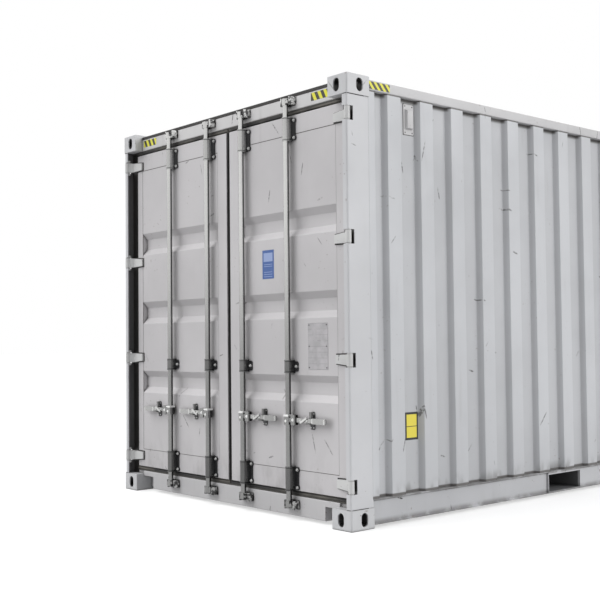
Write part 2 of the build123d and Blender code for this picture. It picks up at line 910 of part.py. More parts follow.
def handle_catches():
    # A plate on the door with an arm under the handle and a tall back behind it
    x_plate = door_end + front_setback - catch_plate
    x_handle = door_end + rod_inset
    seat = handle_level - handle_bar_high / 2 - catch_seat_gap
    with BuildPart() as catch:
        with BuildSketch(Plane.YZ.offset(x_plate)):
            with Locations((0, handle_level)):
                RectangleRounded(catch_wide, catch_high, catch_corner)
        extrude(amount=catch_plate)
        block_between(
            (x_handle - handle_thick, -catch_wide / 2, seat - catch_arm), (x_plate, catch_wide / 2, seat)
        )
        block_between(
            (x_handle + handle_thick / 2 + catch_back_gap, -catch_back_wide / 2, seat),
            (x_plate, catch_back_wide / 2, handle_level + catch_high / 2),
        )
    with BuildPart() as catches:
        with Locations((0, -outer_rod - catch_place, 0), (0, -inner_rod - catch_place, 0)):
            add(catch.part)
    near_and_far(catches, "handle_catches")


os.makedirs("parts", exist_ok=True)
castings()
door_posts()
hinge_lugs()
bottom_side_rails()
top_side_rails()
side_walls()
vents()
end_wall()
end_posts()
end_rails()
roof()
floor_and_base()
sill_and_header()
door_leaf()
hinge_blades()
rod_bearings()
cam_keepers()
rods_and_handles()
handle_catches()
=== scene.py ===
import json
import math

import bmesh
import bpy
from mathutils import Matrix, Vector


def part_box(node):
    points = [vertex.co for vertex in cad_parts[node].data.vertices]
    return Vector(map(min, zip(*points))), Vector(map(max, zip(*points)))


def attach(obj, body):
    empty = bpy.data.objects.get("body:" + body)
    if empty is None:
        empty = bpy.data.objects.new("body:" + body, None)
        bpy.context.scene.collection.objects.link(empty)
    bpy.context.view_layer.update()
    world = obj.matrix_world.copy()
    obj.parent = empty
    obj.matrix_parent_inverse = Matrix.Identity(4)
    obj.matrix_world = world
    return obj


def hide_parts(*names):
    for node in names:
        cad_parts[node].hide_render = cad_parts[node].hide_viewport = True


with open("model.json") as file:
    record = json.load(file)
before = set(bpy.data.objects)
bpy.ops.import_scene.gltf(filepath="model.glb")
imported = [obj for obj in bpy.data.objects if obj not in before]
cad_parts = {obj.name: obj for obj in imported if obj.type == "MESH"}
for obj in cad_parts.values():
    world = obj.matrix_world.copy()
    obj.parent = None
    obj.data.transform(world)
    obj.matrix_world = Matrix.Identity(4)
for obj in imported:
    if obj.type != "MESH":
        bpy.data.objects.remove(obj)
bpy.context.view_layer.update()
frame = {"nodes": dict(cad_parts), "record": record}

# Places taken from the frame, in metres: -X is the door end, -Y the near side
CASTING_LOW, CASTING_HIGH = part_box("bottom_corner_castings")
TOP_CASTING_LOW, TOP_CASTING_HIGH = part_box("top_corner_castings")
DOOR_END = CASTING_LOW.x
BLIND_END, FAR_SIDE = CASTING_HIGH.x, CASTING_HIGH.y
DOOR_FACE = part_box("near_door_frame")[0].x
HEADER_LOW, HEADER_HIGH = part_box("door_header")
SILL_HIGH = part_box("door_sill")[1]
PANEL_LOW, PANEL_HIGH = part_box("near_door_panel")
GASKET_LOW, GASKET_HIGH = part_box("near_door_gasket")
TOP_RAIL_LOW, TOP_RAIL_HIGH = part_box("near_top_side_rail")
END_RAIL_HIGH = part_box("end_rails")[1]
WALL_LOW, WALL_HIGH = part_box("near_side_wall")
POST_LOW, POST_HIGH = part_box("near_door_post")
END_POST_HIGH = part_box("end_posts")[1]
VENT_LOW, VENT_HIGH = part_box("vent_covers")
ROOF_LOW, ROOF_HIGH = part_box("roof")
CATCH_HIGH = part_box("near_handle_catches")[1]

SIDES = (("near", -1), ("far", 1))
TO_DOOR_END = (-1, 0, 0)

# Distance of each rod from the middle of the box, the line the rods turn on, and where their cams end
RODS = (("outer", 0.645), ("inner", 0.192))
ROD_AXIS = DOOR_END + 0.024
CAM_TALL = 0.040
CAM_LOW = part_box("near_outer_lock_rod")[0].z + CAM_TALL
CAM_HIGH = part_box("near_outer_lock_rod")[1].z - CAM_TALL

# Height of the handles, and how far from their rods the pin, the tongue and the catch stand
HANDLE_LEVEL = 0.598
HANDLE_PIVOT = 0.056
TONGUE_PLACE = 0.148
CATCH_PLACE = 0.187

# Height, half height and rise of the bolts of each row of rod bearings
BEARINGS = ((0.244, 0.0725, 0.053), (0.916, 0.039, 0.0), (2.355, 0.0725, 0.053))
BEARING_BOLT_SIDE = 0.045
FLANGE_FRONT = DOOR_FACE - 0.008

# Height of each row of hinges, and which way up its blades stand
HINGES = ((0.247, -1), (0.958, -1), (1.657, 1), (2.362, 1))

# Size of a casting, depth of the ribs of the walls, and spacing of the troughs of the roof
CASTING_LONG = 0.178
CASTING_WIDE = 0.162
WALL_DEPTH = 0.036
VALLEY_FACE = -WALL_LOW.y - WALL_DEPTH
ROOF_PITCH = 0.209
ROOF_MIDDLE = (DOOR_END + 0.160 + BLIND_END - 0.062) / 2

# How thick films and plates stand on a face, how deep they run into it, and the angle that stays sharp
FILM = 0.0006
SUNK = 0.001
SHARP = 35


class Finish:
    """The nodes of one finish, joined up by short calls."""

    def __init__(self, name):
        self.material = bpy.data.materials.new(name)
        self.material.use_nodes = True
        self.tree = self.material.node_tree
        self.shader = self.tree.nodes["Principled BSDF"]
        self.place = self.tree.nodes.new("ShaderNodeTexCoord").outputs["Object"]

    def join(self, value, socket):
        """Link another node's value to a socket, or write a plain value into it."""
        if isinstance(value, bpy.types.NodeSocket):
            self.tree.links.new(value, socket)
        else:
            socket.default_value = value

    def node(self, kind, inputs, **settings):
        """A new node with its settings made and its inputs joined."""
        made = self.tree.nodes.new(kind)
        for key, value in settings.items():
            setattr(made, key, value)
        for key, value in inputs.items():
            self.join(value, made.inputs[key])
        return made

    def noise(self, scale, detail=3.0, rough=0.55, stretch=(1, 1, 1), turn=(0, 0, 0)):
        """Cloudy noise from 0 to 1, with so many lumps to the metre."""
        moved = self.node("ShaderNodeMapping", {"Vector": self.place, "Scale": stretch, "Rotation": turn})
        inputs = {"Vector": moved.outputs["Vector"], "Scale": scale, "Detail": detail, "Roughness": rough}
        return self.node("ShaderNodeTexNoise", inputs).outputs["Fac"]

    def ramp(self, value, start, end, low=0.0, high=1.0):
        """A soft step from low to high as the value goes from start to end."""
        inputs = {"Value": value, "From Min": start, "From Max": end, "To Min": low, "To Max": high}
        return self.node("ShaderNodeMapRange", inputs, interpolation_type="SMOOTHSTEP").outputs["Result"]

    def maths(self, operation, first, second=0.0):
        """One step of arithmetic."""
        return self.node("ShaderNodeMath", {0: first, 1: second}, operation=operation).outputs["Value"]

    def times(self, *values):
        """All the values multiplied."""
        product = values[0]
        for value in values[1:]:
            product = self.maths("MULTIPLY", product, value)
        return product

    def most(self, *values):
        """The greatest of the values."""
        greatest = values[0]
        for value in values[1:]:
            greatest = self.maths("MAXIMUM", greatest, value)
        return greatest

    def blend(self, share, first, second):
        """The first colour, and by its share the second over it."""
        made = self.node("ShaderNodeMix", {0: share, 6: first, 7: second}, data_type="RGBA")
        return made.outputs[2]

    def along(self, axis):
        """Place along X, Y or Z, in metres."""
        return self.node("ShaderNodeSeparateXYZ", {"Vector": self.place}).outputs[axis]

    def off_middle(self, axis):
        """Distance from the middle of the container along X or Y."""
        return self.maths("ABSOLUTE", self.along(axis))

    def within(self, value, low, high, soft):
        """1 between low and high, 0 outside, with soft ends."""
        rising = self.ramp(value, low - soft, low + soft)
        falling = self.ramp(value, high + soft, high - soft)
        return self.times(rising, falling)

    def scratches(self, angle, half_width, half_length, per_metre, level=False):
        """Straight scratches at one slant, so many to each square metre, on an upright or a level face."""
        across, up = self.along("X"), self.along("Y")
        if not level:
            across, up = self.maths("ADD", across, up), self.along("Z")
        turn = math.radians(angle)
        first = self.maths("ADD", self.times(across, math.cos(turn)), self.times(up, math.sin(turn)))
        second = self.maths("SUBTRACT", self.times(up, math.cos(turn)), self.times(across, math.sin(turn)))
        squash = half_width / half_length
        scale = math.sqrt(per_metre / squash)
        place = self.node("ShaderNodeCombineXYZ", {"X": first, "Y": self.times(second, squash)})
        where = {"Vector": place.outputs[0], "Scale": scale}
        cells = self.node("ShaderNodeTexVoronoi", where, voronoi_dimensions="2D")
        chance = self.node("ShaderNodeSeparateColor", {"Color": cells.outputs["Color"]}).outputs
        wide = half_width * scale
        reach = self.ramp(chance["Red"], 0.0, 1.0, 0.6 * wide, 1.4 * wide)
        past = self.maths("SUBTRACT", cells.outputs["Distance"], reach)
        return self.times(self.ramp(past, 0.0, -0.3 * wide), self.ramp(chance["Green"], 0.20, 0.30))

    def crevices(self, reach):
        """Painted shade and dirt: a share that rises in corners, seams and hidden sides."""
        open_share = self.node("ShaderNodeAmbientOcclusion", {"Distance": reach}, samples=6).outputs["AO"]
        return self.ramp(open_share, 0.80, 0.40)

    def bump(self, height, strength, distance, under=None):
        """Fine relief of the skin, over the relief under it."""
        inputs = {"Height": height, "Strength": strength, "Distance": distance}
        if under is not None:
            inputs["Normal"] = under
        return self.node("ShaderNodeBump", inputs).outputs["Normal"]

    def done(self, colour, rough, normal=None, metal=0.0):
        """Join the colour, roughness and surface to the shader and give back the material."""
        self.shader.inputs["Metallic"].default_value = metal
        self.join(colour, self.shader.inputs["Base Color"])
        self.join(rough, self.shader.inputs["Roughness"])
        if normal is not None:
            self.join(normal, self.shader.inputs["Normal"])
        return self.material


# The brown tone lays down dirt and painted shade together.
DIRT_AND_SHADE_BROWN = (0.075, 0.068, 0.062, 1.0)
# The near black tone is painted shade.
SHADE_BLACK = (0.014, 0.013, 0.012, 1.0)
STREAK = (0.23, 0.215, 0.20, 1.0)
# Tone for corners, seams and hidden sides: dirt and painted shade together.
CORNER_DIRT_AND_SHADE = (0.06, 0.056, 0.054, 1.0)
SCRATCH = (0.055, 0.052, 0.050, 1.0)
RUST = (0.12, 0.07, 0.045, 1.0)

# Slant in degrees, half width, half length and number to each square metre of each layer of scratches
SCRATCH_LAYERS = (
    (12, 0.0044, 0.034, 1.9),
    (-40, 0.0040, 0.044, 1.2),
    (74, 0.0046, 0.022, 2.8),
    (-15, 0.0036, 0.058, 1.0),
)


def aged_paint(
    name, colour, dirt, chips, dents=0.0, dirt_and_shade_mask=None, dirt_and_shade_tone=DIRT_AND_SHADE_BROWN, corners=0.8, level=False
):
    """Sprayed paint: a slow drift of tone, rain streaks, scratches, chips down to rust, and dirt with painted
    shade in the corners.
    """
    made = Finish(name)
    drift = made.ramp(made.noise(1.3, 4.0), 0.3, 0.7)
    tone = made.blend(drift, tuple(channel * 0.89 for channel in colour) + (1.0,), colour + (1.0,))
    streaks = made.ramp(made.noise(3.0, 4.0, 0.55, (6.0, 6.0, 0.5)), 0.52, 0.80)
    patches = made.ramp(made.noise(2.3, 3.0), 0.44, 0.70)
    tone = made.blend(made.times(streaks, patches, 0.26 * dirt), tone, STREAK)
    # The mask passed in lays down dirt and painted shade, in its own tone.
    if dirt_and_shade_mask is not None:
        tone = made.blend(dirt_and_shade_mask(made), tone, dirt_and_shade_tone)
    ragged = made.ramp(made.noise(17.0, 4.0, 0.65), 0.16, 0.52)
    # Painted shade: corners, seams and hidden sides darkened as they are hemmed in, broken up like dirt.
    tone = made.blend(made.times(made.crevices(0.026), ragged, corners), tone, CORNER_DIRT_AND_SHADE)
    broken = made.ramp(made.noise(60.0, 3.0, 0.6), 0.34, 0.56)
    for angle, half_width, half_length, per_metre in SCRATCH_LAYERS:
        lines = made.scratches(angle, half_width, half_length, per_metre, level)
        tone = made.blend(made.times(lines, broken, 1.1 * dirt), tone, SCRATCH)
    grains = made.ramp(made.noise(52.0, 2.0, 0.6), 0.69, 0.72)
    clusters = made.ramp(made.noise(3.1, 2.0, 0.5, (1, 1, 1), (1.1, 0.2, 0.6)), 0.50, 0.62)
    tone = made.blend(made.times(grains, clusters, chips), tone, RUST)
    skin = made.bump(made.noise(420.0, 2.0), 0.10, 0.0006)
    if dents:
        skin = made.bump(made.noise(2.4, 2.0, 0.4), dents, 0.02, skin)
    shiny, dull = (0.72, 0.86) if level else (0.40, 0.58)
    return made.done(tone, made.ramp(patches, 0.0, 1.0, shiny, dull), skin)


def wall_dirt_and_shade(made):
    """Dirt low on the wall and on the ledge of the bottom rail, painted shadow under the top rail in the
    valleys with a dark seam along the rail, and painted shade over the valley floors.
    """
    low = made.ramp(made.along("Z"), WALL_LOW.z + 0.10, WALL_LOW.z)
    high = made.ramp(made.along("Z"), WALL_HIGH.z - 0.035, WALL_HIGH.z - 0.010)
    ragged = made.ramp(made.noise(9.0, 4.0, 0.6, (1.0, 1.0, 0.35)), 0.38, 0.66)
    deep = made.ramp(made.off_middle("Y"), -WALL_LOW.y - 0.004, -WALL_LOW.y - 0.024)
    foot = made.ramp(made.along("Z"), WALL_LOW.z + 0.020, WALL_LOW.z + 0.012)
    ledge = made.most(made.times(low, ragged, 0.62), made.times(foot, 0.9))
    seam = made.ramp(made.along("Z"), WALL_HIGH.z - 0.009, WALL_HIGH.z - 0.005)
    # Painted shadow under the top rail in the valleys, joined with the dark seam along the rail.
    rail_shadow_and_seam = made.most(made.times(high, deep, 0.95), made.times(seam, 0.9))
    # The valley floors are darkened a little: painted shade.
    return made.most(ledge, rail_shadow_and_seam, made.times(deep, 0.12))


def rail_grime(made):
    """Road dirt on the lower edge of the rail, and a darker band along its top."""
    low = made.ramp(made.along("Z"), 0.060, 0.020)
    high = made.ramp(made.along("Z"), 0.148, 0.158)
    ragged = made.ramp(made.noise(11.0, 4.0, 0.6), 0.26, 0.56)
    return made.times(made.most(low, high), ragged, 0.70)


def door_dirt_and_shade(made):
    """Dirt that the rain leaves along the foot of the doors, and painted shadow beside the rods and behind
    the handles.
    """
    low = made.ramp(made.along("Z"), 0.50, 0.17)
    ragged = made.ramp(made.noise(6.0, 5.0, 0.62, (1.0, 1.0, 0.5)), 0.46, 0.74)
    dirt = made.times(low, ragged, 0.30)
    across = made.off_middle("Y")
    level = made.within(made.along("Z"), HANDLE_LEVEL - 0.030, HANDLE_LEVEL + 0.016, 0.022)
    outside = made.ramp(made.along("X"), PANEL_LOW.x + 0.0016, PANEL_LOW.x + 0.0006)
    # Painted shadow of the rods: soft dark bands on both sides of each rod.
    rod_side_shade = made.ramp(made.noise(5.0, 4.0, 0.6, (2.0, 2.0, 0.4)), 0.25, 0.60, 0.08, 0.20)
    for word, place in RODS:
        beside = made.within(across, place - 0.050, place + 0.050, 0.025)
        # Painted shadow of the handles on the panel behind each grip.
        rubbed = made.within(across, place + 0.10, place + 0.36, 0.035)
        dirt = made.most(dirt, made.times(beside, rod_side_shade), made.times(rubbed, level, outside, 0.42))
    return dirt


def post_channel_shade(made):
    """Painted shade, near black, in the channel between the lip of the post and the edge of the door."""
    deep = made.ramp(made.along("X"), DOOR_END + 0.016, DOOR_END + 0.040)
    inside = made.ramp(made.off_middle("Y"), FAR_SIDE - 0.009, FAR_SIDE - 0.013)
    behind_door = made.ramp(made.along("X"), DOOR_FACE + 0.054, DOOR_FACE + 0.044)
    return made.times(deep, inside, behind_door)


def casting_inside_shade(made):
    """Painted shade: the inside of a hollow casting, behind its lifting holes, painted near black."""
    deep_x = made.within(made.off_middle("X"), BLIND_END - CASTING_LONG + 0.010, BLIND_END - 0.008, 0.004)
    deep_y = made.within(made.off_middle("Y"), FAR_SIDE - CASTING_WIDE + 0.010, FAR_SIDE - 0.008, 0.004)
    deep_z = made.most(
        made.within(made.along("Z"), CASTING_LOW.z + 0.014, CASTING_HIGH.z - 0.010, 0.004),
        made.within(made.along("Z"), TOP_CASTING_LOW.z + 0.010, TOP_CASTING_HIGH.z - 0.014, 0.004),
    )
    return made.times(deep_x, deep_y, deep_z, 0.96)


def knuckle_shade(made):
    """Painted shade, near black, on the backs of the knuckles, in the notches of the posts."""
    outer = made.ramp(made.off_middle("Y"), FAR_SIDE - 0.045, FAR_SIDE - 0.035)
    behind = made.ramp(made.along("X"), DOOR_END + 0.024, DOOR_END + 0.030)
    return made.times(outer, behind, 0.95)


def rod_glints_and_shade(made):
    """Painted glints and shade in bright and dark patches on the cams at both ends of a rod, and painted
    shade down the side of the rod that faces the door.
    """
    # Painted glints and shade: bright and dark patches on the cams.
    cam_glints_and_shade = made.ramp(made.noise(46.0, 2.0, 0.6), 0.44, 0.56, 0.06, 1.0)
    ends = made.most(
        made.ramp(made.along("Z"), CAM_LOW + 0.002, CAM_LOW),
        made.ramp(made.along("Z"), CAM_HIGH - 0.002, CAM_HIGH),
    )
    wings = []
    for word, place in RODS:
        off_rod = made.maths("ABSOLUTE", made.maths("SUBTRACT", made.off_middle("Y"), place))
        wings.append(made.ramp(off_rod, 0.0155, 0.0175))
    share = made.times(ends, made.maths("MINIMUM", *wings))
    cams = made.maths("ADD", made.times(cam_glints_and_shade, share), made.maths("SUBTRACT", 1.0, share))
    # Painted shade: the side of the rod that faces the door is darkened.
    back = made.ramp(made.along("X"), ROD_AXIS - 0.007, ROD_AXIS + 0.004, 1.0, 0.16)
    return made.times(cams, back)


def forging_glints_and_shade(made):
    """Painted glints and shade in bright and dark patches all over a small forging."""
    return made.ramp(made.noise(46.0, 2.0, 0.6), 0.42, 0.58, 0.10, 1.0)


def collar_lines(made):
    """Dark lines beside the collars of the rod bearings."""
    lines = []
    for level, half, rise in BEARINGS:
        for groove in (level - half + 0.0075, level + half - 0.0075):
            lines.append(made.within(made.along("Z"), groove - 0.0022, groove + 0.0022, 0.0012))
    return made.maths("SUBTRACT", 1.0, made.times(made.most(*lines), 0.85))


def galvanised_steel(
    name, level, stain, rough, corners, metal, low_share=1.0, dark_behind=None, reach=0.014, skin=None
):
    """Worn zinc with long handling marks, painted shade in its corners and on hidden sides, and a tone that
    runs darker towards the bottom where asked.
    """
    made = Finish(name)
    marks = made.ramp(made.noise(3.0, 2.0, 0.5, (1.0, 1.0, 0.3)), 0.42, 0.70, 1.0, 1.0 - stain)
    bright = made.times(marks, made.ramp(made.along("Z"), 0.70, 1.90, low_share, 1.0))
    if skin is not None:
        bright = made.times(bright, skin(made))
    tone = made.blend(bright, (0.004, 0.004, 0.005, 1.0), (level, level, level * 0.985, 1.0))
    # Painted shade: near black in corners and on hidden sides, as they are hemmed in.
    if corners:
        tone = made.blend(made.times(made.crevices(reach), corners), tone, (0.010, 0.009, 0.009, 1.0))
    if dark_behind is not None:
        back = made.ramp(made.along("X"), dark_behind - 0.001, dark_behind)
        tone = made.blend(back, tone, (0.050, 0.050, 0.053, 1.0))
    return made.done(tone, rough, None, metal)


def black_rubber(name):
    """Door gasket: black, with grey brown road dust on the lips above and below the doors."""
    made = Finish(name)
    dust = made.ramp(made.noise(2.6, 3.0, 0.5), 0.44, 0.60)
    lips = made.most(
        made.ramp(made.along("Z"), GASKET_HIGH.z - 0.024, GASKET_HIGH.z - 0.018),
        made.ramp(made.along("Z"), GASKET_LOW.z + 0.024, GASKET_LOW.z + 0.018),
    )
    tone = made.blend(made.times(lips, dust, 0.95), (0.013, 0.012, 0.012, 1.0), (0.110, 0.102, 0.088, 1.0))
    return made.done(tone, 0.68, made.bump(made.noise(200.0, 2.0), 0.2, 0.0006))


def printed_film(name, colour, rough, wear):
    """Printed film or a small painted plate, a little faded and rubbed."""
    made = Finish(name)
    rubbed = made.ramp(made.noise(38.0, 4.0, 0.7), 0.48, 0.72)
    faded = tuple(channel * 0.7 + 0.10 for channel in colour) + (1.0,)
    return made.done(made.blend(made.times(rubbed, wear), colour + (1.0,), faded), rough)


def hazard_tape(name, axis, lean, pitch):
    """Yellow and black slanting bars, set out along one edge of the container."""
    made = Finish(name)
    slant = made.maths("ADD", made.along(axis), made.times(made.along("Z"), lean))
    step = made.maths("FRACT", made.maths("DIVIDE", slant, pitch))
    bars = made.ramp(step, 0.50, 0.53)
    rubbed = made.times(made.ramp(made.noise(45.0, 4.0, 0.7), 0.52, 0.70), 0.35)
    tone = made.blend(bars, (0.030, 0.028, 0.022, 1.0), (0.76, 0.72, 0.05, 1.0))
    return made.done(made.blend(rubbed, tone, (0.42, 0.41, 0.38, 1.0)), 0.45)


def stamped_plate(name):
    """Dull alloy plate with faint blank ruled fields."""
    made = Finish(name)
    stains = made.ramp(made.noise(16.0, 3.0), 0.35, 0.7)
    tone = made.blend(stains, (0.37, 0.36, 0.37, 1.0), (0.46, 0.445, 0.46, 1.0))
    rows = made.maths("FRACT", made.maths("DIVIDE", made.along("Z"), 0.034))
    ruled = made.times(made.within(rows, 0.44, 0.52, 0.03), made.ramp(made.noise(26.0, 2.0), 0.42, 0.50), 0.5)
    return made.done(made.blend(ruled, tone, (0.22, 0.21, 0.22, 1.0)), 0.45, metal=0.2)


def plywood(name):
    """Floor sheets with a long grain, butt joints and screws over the cross members."""
    made = Finish(name)
    grain = made.noise(5.0, 6.0, 0.65, (1.2, 16.0, 16.0))
    tone = made.blend(made.ramp(grain, 0.35, 0.7), (0.13, 0.065, 0.032, 1.0), (0.27, 0.155, 0.08, 1.0))
    sheets = {"Vector": made.place, "Scale": 1.0, "Mortar Size": 0.004, "Brick Width": 2.4, "Row Height": 0.6}
    black, white = (0, 0, 0, 1), (1, 1, 1, 1)
    joints = made.node("ShaderNodeTexBrick", {**sheets, "Color1": black, "Color2": black, "Mortar": white})
    tone = made.blend(joints.outputs["Color"], tone, (0.02, 0.015, 0.012, 1.0))
    half_row, half_line = 0.145, 0.075
    from_row = made.maths("PINGPONG", made.maths("ADD", made.along("X"), half_row), half_row)
    from_line = made.maths("PINGPONG", made.along("Y"), half_line)
    squares = made.maths("ADD", made.maths("POWER", from_row, 2.0), made.maths("POWER", from_line, 2.0))
    from_screw = made.maths("SQRT", squares)
    tone = made.blend(made.ramp(from_screw, 0.0065, 0.0050), tone, (0.03, 0.027, 0.025, 1.0))
    return made.done(tone, 0.6, made.bump(grain, 0.25, 0.002))


# The wall and door paints carry painted shade and shadow with their dirt; the post, casting and hinge paints
# carry painted shade in near black.
WALL_PAINT = aged_paint("wall_paint", (0.585, 0.592, 0.612), 0.7, 0.5, dents=0.30, dirt_and_shade_mask=wall_dirt_and_shade)
ROOF_PAINT = aged_paint("roof_paint", (0.45, 0.455, 0.465), 0.8, 0.8, dents=0.25, level=True)
RAIL_PAINT = aged_paint("rail_paint", (0.575, 0.578, 0.596), 0.9, 0.7, dirt_and_shade_mask=rail_grime, corners=0.5)
FRAME_PAINT = aged_paint("frame_paint", (0.585, 0.578, 0.582), 0.7, 0.6)
HEADER_PAINT = aged_paint("header_paint", (0.645, 0.635, 0.635), 0.8, 0.6)
SILL_PAINT = aged_paint("sill_paint", (0.530, 0.522, 0.530), 1.0, 0.7)
POST_PAINT = aged_paint("post_paint", (0.605, 0.607, 0.624), 0.7, 0.6, dirt_and_shade_mask=post_channel_shade, dirt_and_shade_tone=SHADE_BLACK)
DOOR_PAINT = aged_paint("door_paint", (0.575, 0.558, 0.568), 0.6, 0.5, dents=0.25, dirt_and_shade_mask=door_dirt_and_shade)
CASTING_PAINT = aged_paint(
    "casting_paint", (0.60, 0.602, 0.614), 0.4, 0.8, dirt_and_shade_mask=casting_inside_shade, dirt_and_shade_tone=SHADE_BLACK
)
HINGE_PAINT = aged_paint("hinge_paint", (0.62, 0.62, 0.615), 0.8, 0.8, dirt_and_shade_mask=knuckle_shade, dirt_and_shade_tone=SHADE_BLACK)
BASE_PAINT = aged_paint("base_paint", (0.13, 0.13, 0.135), 1.0, 1.0, level=True)

# The rods carry painted glints on their cams and painted shade down their backs.
ROD_ZINC = galvanised_steel(
    "rod_zinc", 0.64, 0.15, 0.22, corners=0.0, metal=0.9, low_share=0.38, skin=rod_glints_and_shade
)
BEARING_ZINC = galvanised_steel(
    "bearing_zinc", 0.50, 0.20, 0.24, corners=0.7, metal=0.8, low_share=0.26,
    dark_behind=FLANGE_FRONT - 0.0015, reach=0.020, skin=collar_lines,
)
# The keepers carry painted glints and shade all over.
KEEPER_ZINC = galvanised_steel(
    "keeper_zinc", 0.80, 0.20, 0.22, corners=0.95, metal=0.6, low_share=0.50, reach=0.030, skin=forging_glints_and_shade
)
CATCH_ZINC = galvanised_steel(
    "catch_zinc", 0.20, 0.5, 0.26, corners=0.9, metal=0.5, dark_behind=CATCH_HIGH.x - 0.008
)
HANDLE_ZINC = galvanised_steel("handle_zinc", 0.36, 0.30, 0.20, corners=0.95, metal=0.8, reach=0.030)
BOLT_ZINC = galvanised_steel("bolt_zinc", 0.66, 0.25, 0.18, corners=0.95, metal=0.5, reach=0.012)
# The lids and the heads on the hubs are painted much lighter than the handle zinc: a painted highlight on
# their lit faces.
LID_ZINC = galvanised_steel("lid_zinc", 0.85, 0.10, 0.25, corners=0.0, metal=0.3)

SEAL_RUBBER = black_rubber("seal_rubber")
FLOOR_PLY = plywood("floor_plywood")
HEADER_TAPE = hazard_tape("header_hazard_tape", "Y", -0.5, 0.053)
RAIL_TAPE = hazard_tape("rail_hazard_tape", "X", 0.85, 0.047)
LABEL_BLUE = printed_film("label_blue", (0.055, 0.120, 0.34), 0.4, 0.35)
LABEL_PALE = printed_film("label_pale", (0.30, 0.38, 0.62), 0.4, 0.3)
MARK_YELLOW = printed_film("mark_yellow", (0.78, 0.66, 0.07), 0.45, 0.2)
MARK_BLACK = printed_film("mark_black", (0.008, 0.008, 0.009), 0.5, 0.04)
DATA_PLATE = stamped_plate("data_plate_alloy")
# This near black film is sealant on the header, the casting joints and the vent screws, and painted shadow
# round the hinge blades.
SEALANT_AND_SHADOW = printed_film("seam_sealant_and_shadow", (0.018, 0.016, 0.015), 0.7, 0.2)
DARK_SEAM = printed_film("dirty_seam", (0.10, 0.095, 0.09), 0.7, 0.3)
FAINT_SEAM = printed_film("faint_seam", (0.36, 0.35, 0.35), 0.6, 0.3)
# Near black film for the rebates: painted shade in the gaps, with dust.
REBATE_DUST_AND_SHADE = printed_film("rebate_dust_and_shade", (0.05, 0.047, 0.042), 0.7, 0.4)


def body_of_node(node):
    """The body that the frame's record gives this node to."""
    for body, members in frame["record"]["behaviour"]["bodies"].items():
        if node in members:
            return body


def put_in_scene(name, work, material, body, smooth=False):
    """Turn finished mesh work into a piece that rides on a body, flat or smooth between its sharp edges."""
    mesh = bpy.data.meshes.new(name)
    bmesh.ops.recalc_face_normals(work, faces=work.faces)
    work.to_mesh(mesh)
    work.free()
    if smooth:
        mesh.shade_smooth()
        mesh.set_sharp_from_angle(angle=math.radians(SHARP))
    piece = bpy.data.objects.new(name, mesh)
    bpy.context.scene.collection.objects.link(piece)
    mesh.materials.append(material)
    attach(piece, body)
    return piece


def finished(node, material, edge):
    """Stand a copy of a node in its place, with joined faces, eased edges and smooth curves."""
    work = bmesh.new()
    work.from_mesh(frame["nodes"][node].data)
    bmesh.ops.remove_doubles(work, verts=work.verts, dist=0.00003)
    bmesh.ops.dissolve_limit(work, angle_limit=math.radians(0.6), verts=work.verts, edges=work.edges)
    piece = put_in_scene(f"{node}_finished", work, material, body_of_node(node), True)
    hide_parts(node)
    if edge:
        eased = piece.modifiers.new("eased_edges", "BEVEL")
        eased.width = edge
        eased.segments = 2
        eased.limit_method = "ANGLE"
        eased.angle_limit = math.radians(40)
        eased.harden_normals = True


# Finish of each node and how far its edges are eased, in metres
DRESS = (
    (("bottom_corner_castings", "top_corner_castings"), CASTING_PAINT, 0.003),
    (("near_door_post", "far_door_post", "end_posts"), POST_PAINT, 0.0012),
    (("near_bottom_side_rail", "far_bottom_side_rail", "fork_pocket_mouths"), RAIL_PAINT, 0.0010),
    (("near_top_side_rail", "far_top_side_rail", "end_rails"), FRAME_PAINT, 0.0012),
    (("door_header",), HEADER_PAINT, 0.0010),
    (("door_sill",), SILL_PAINT, 0.0010),
    (("vent_covers",), FRAME_PAINT, 0.0010),
    (("near_hinge_lugs", "far_hinge_lugs"), HINGE_PAINT, 0.0010),
    (("near_hinge_blades", "far_hinge_blades"), HINGE_PAINT, 0.0022),
    (("near_side_wall", "far_side_wall", "end_wall"), WALL_PAINT, 0.0),
    (("roof", "roof_end_plates"), ROOF_PAINT, 0.0),
    (("cross_members", "fork_pocket_beams", "fork_pocket_plates"), BASE_PAINT, 0.0),
    (("floor",), FLOOR_PLY, 0.0),
    (("near_door_frame", "far_door_frame"), DOOR_PAINT, 0.0010),
    (("near_door_panel", "far_door_panel"), DOOR_PAINT, 0.0),
    (("near_door_gasket", "far_door_gasket"), SEAL_RUBBER, 0.0020),
    (("near_rod_bearings", "far_rod_bearings"), BEARING_ZINC, 0.0012),
    (("cam_keepers",), KEEPER_ZINC, 0.0016),
    (("near_handle_catches", "far_handle_catches"), CATCH_ZINC, 0.0012),
    (tuple(f"{side}_{word}_lock_rod" for side, hand in SIDES for word, place in RODS), ROD_ZINC, 0.0010),
    (tuple(f"{side}_{word}_handle" for side, hand in SIDES for word, place in RODS), HANDLE_ZINC, 0.0022),
)


def dress_the_frame():
    """Finish every node that DRESS names."""
    for nodes, material, edge in DRESS:
        for node in nodes:
            finished(node, material, edge)


def add_block(work, low, high, turn=None):
    """A block between two corners, turned about its own middle if asked."""
    size = Vector(high) - Vector(low)
    middle = Matrix.Translation((Vector(high) + Vector(low)) / 2)
    shape = Matrix.Diagonal((abs(size.x), abs(size.y), abs(size.z), 1.0))
    return bmesh.ops.create_cube(work, size=1.0, matrix=middle @ (turn or Matrix()) @ shape)["verts"]


def ease(work, verts, offset):
    """Round off the edges between these corners."""
    edges = {edge for vert in verts for edge in vert.link_edges}
    bmesh.ops.bevel(
        work, geom=list(edges), offset=offset, segments=2, profile=0.5, affect="EDGES", material=-1
    )


